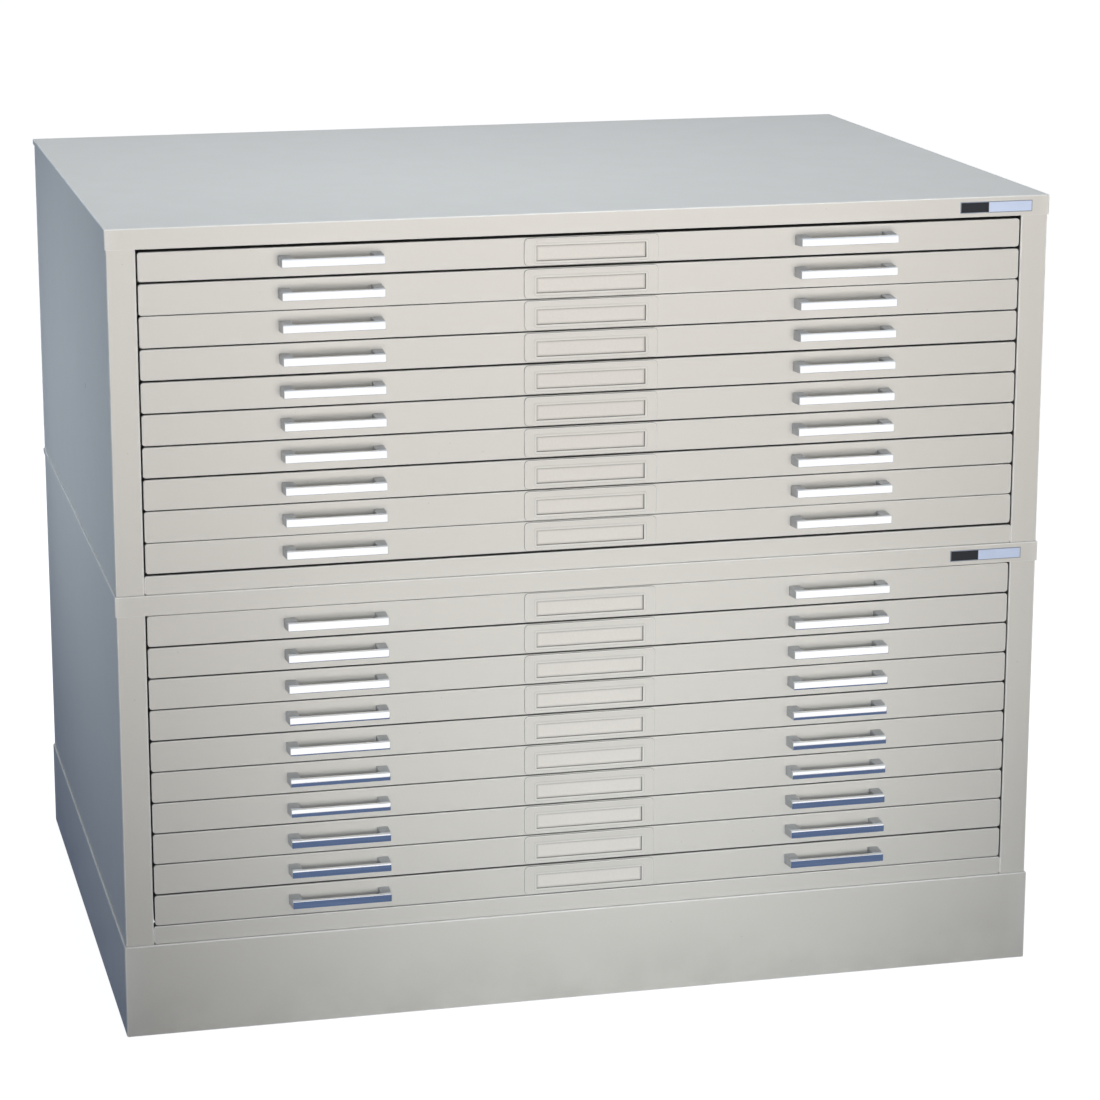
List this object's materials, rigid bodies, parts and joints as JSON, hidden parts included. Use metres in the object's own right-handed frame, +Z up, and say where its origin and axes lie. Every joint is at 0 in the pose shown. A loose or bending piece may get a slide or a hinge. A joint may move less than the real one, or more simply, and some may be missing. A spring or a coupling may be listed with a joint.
{
  "type": "flat file cabinet",
  "caption": "Steel flat file cabinet: two stacked case units on a closed base, with shallow full-width drawers on roller runners, chrome bar pulls and card holders.",
  "frame": {"origin": "on the floor, at the middle of the cabinet's overall width and depth, pulls included", "axes": "+Z up, +X to the right as seen from the front, the drawers pull out along -Y"},
  "size_m": [1.0262, 0.7756, 0.877],
  "materials": {
    "case_paint": "baked enamel, semi-gloss, putty",
    "front_paint": "baked enamel, semi-gloss, putty",
    "tray_paint": "baked enamel, satin, putty",
    "runner_steel": "zinc-plated, satin",
    "pull_chrome": "bright chrome plate",
    "card_paper": "plain card",
    "plate_metal": "satin, bare"
  },
  "bodies": {
    "cabinet": {"base": "case_paint", "lower_cap": "case_paint", "lower_side_left": "case_paint", "lower_side_right": "case_paint", "lower_back": "case_paint", "lower_bottom_rail": "case_paint", "lower_rear_rail": "runner_steel", "lower_rack_left": "runner_steel", "lower_rack_right": "runner_steel", "upper_cap": "case_paint", "upper_side_left": "case_paint", "upper_side_right": "case_paint", "upper_back": "case_paint", "upper_bottom_rail": "case_paint", "upper_rear_rail": "runner_steel", "upper_rack_left": "runner_steel", "upper_rack_right": "runner_steel"},
    "drawer_01": {"drawer_01_front": "front_paint", "drawer_01_tray": "tray_paint"},
    "drawer_02": {"drawer_02_front": "front_paint", "drawer_02_tray": "tray_paint"},
    "drawer_03": {"drawer_03_front": "front_paint", "drawer_03_tray": "tray_paint"},
    "drawer_04": {"drawer_04_front": "front_paint", "drawer_04_tray": "tray_paint"},
    "drawer_05": {"drawer_05_front": "front_paint", "drawer_05_tray": "tray_paint"},
    "drawer_06": {"drawer_06_front": "front_paint", "drawer_06_tray": "tray_paint"},
    "drawer_07": {"drawer_07_front": "front_paint", "drawer_07_tray": "tray_paint"},
    "drawer_08": {"drawer_08_front": "front_paint", "drawer_08_tray": "tray_paint"},
    "drawer_09": {"drawer_09_front": "front_paint", "drawer_09_tray": "tray_paint"},
    "drawer_10": {"drawer_10_front": "front_paint", "drawer_10_tray": "tray_paint"},
    "drawer_11": {"drawer_11_front": "front_paint", "drawer_11_tray": "tray_paint"},
    "drawer_12": {"drawer_12_front": "front_paint", "drawer_12_tray": "tray_paint"},
    "drawer_13": {"drawer_13_front": "front_paint", "drawer_13_tray": "tray_paint"},
    "drawer_14": {"drawer_14_front": "front_paint", "drawer_14_tray": "tray_paint"},
    "drawer_15": {"drawer_15_front": "front_paint", "drawer_15_tray": "tray_paint"},
    "drawer_16": {"drawer_16_front": "front_paint", "drawer_16_tray": "tray_paint"},
    "drawer_17": {"drawer_17_front": "front_paint", "drawer_17_tray": "tray_paint"},
    "drawer_18": {"drawer_18_front": "front_paint", "drawer_18_tray": "tray_paint"},
    "drawer_19": {"drawer_19_front": "front_paint", "drawer_19_tray": "tray_paint"},
    "drawer_20": {"drawer_20_front": "front_paint", "drawer_20_tray": "tray_paint"}
  },
  "joints": [
    {"name": "drawer_01_slide", "type": "slide", "parent": "cabinet", "child": "drawer_01", "axis": [0, -1, 0], "range_m": [0, 0.605]},
    {"name": "drawer_02_slide", "type": "slide", "parent": "cabinet", "child": "drawer_02", "axis": [0, -1, 0], "range_m": [0, 0.605]},
    {"name": "drawer_03_slide", "type": "slide", "parent": "cabinet", "child": "drawer_03", "axis": [0, -1, 0], "range_m": [0, 0.605]},
    {"name": "drawer_04_slide", "type": "slide", "parent": "cabinet", "child": "drawer_04", "axis": [0, -1, 0], "range_m": [0, 0.605]},
    {"name": "drawer_05_slide", "type": "slide", "parent": "cabinet", "child": "drawer_05", "axis": [0, -1, 0], "range_m": [0, 0.605]},
    {"name": "drawer_06_slide", "type": "slide", "parent": "cabinet", "child": "drawer_06", "axis": [0, -1, 0], "range_m": [0, 0.605]},
    {"name": "drawer_07_slide", "type": "slide", "parent": "cabinet", "child": "drawer_07", "axis": [0, -1, 0], "range_m": [0, 0.605]},
    {"name": "drawer_08_slide", "type": "slide", "parent": "cabinet", "child": "drawer_08", "axis": [0, -1, 0], "range_m": [0, 0.605]},
    {"name": "drawer_09_slide", "type": "slide", "parent": "cabinet", "child": "drawer_09", "axis": [0, -1, 0], "range_m": [0, 0.605]},
    {"name": "drawer_10_slide", "type": "slide", "parent": "cabinet", "child": "drawer_10", "axis": [0, -1, 0], "range_m": [0, 0.605]},
    {"name": "drawer_11_slide", "type": "slide", "parent": "cabinet", "child": "drawer_11", "axis": [0, -1, 0], "range_m": [0, 0.605]},
    {"name": "drawer_12_slide", "type": "slide", "parent": "cabinet", "child": "drawer_12", "axis": [0, -1, 0], "range_m": [0, 0.605]},
    {"name": "drawer_13_slide", "type": "slide", "parent": "cabinet", "child": "drawer_13", "axis": [0, -1, 0], "range_m": [0, 0.605]},
    {"name": "drawer_14_slide", "type": "slide", "parent": "cabinet", "child": "drawer_14", "axis": [0, -1, 0], "range_m": [0, 0.605]},
    {"name": "drawer_15_slide", "type": "slide", "parent": "cabinet", "child": "drawer_15", "axis": [0, -1, 0], "range_m": [0, 0.605]},
    {"name": "drawer_16_slide", "type": "slide", "parent": "cabinet", "child": "drawer_16", "axis": [0, -1, 0], "range_m": [0, 0.605]},
    {"name": "drawer_17_slide", "type": "slide", "parent": "cabinet", "child": "drawer_17", "axis": [0, -1, 0], "range_m": [0, 0.605]},
    {"name": "drawer_18_slide", "type": "slide", "parent": "cabinet", "child": "drawer_18", "axis": [0, -1, 0], "range_m": [0, 0.605]},
    {"name": "drawer_19_slide", "type": "slide", "parent": "cabinet", "child": "drawer_19", "axis": [0, -1, 0], "range_m": [0, 0.605]},
    {"name": "drawer_20_slide", "type": "slide", "parent": "cabinet", "child": "drawer_20", "axis": [0, -1, 0], "range_m": [0, 0.605]}
  ]
}
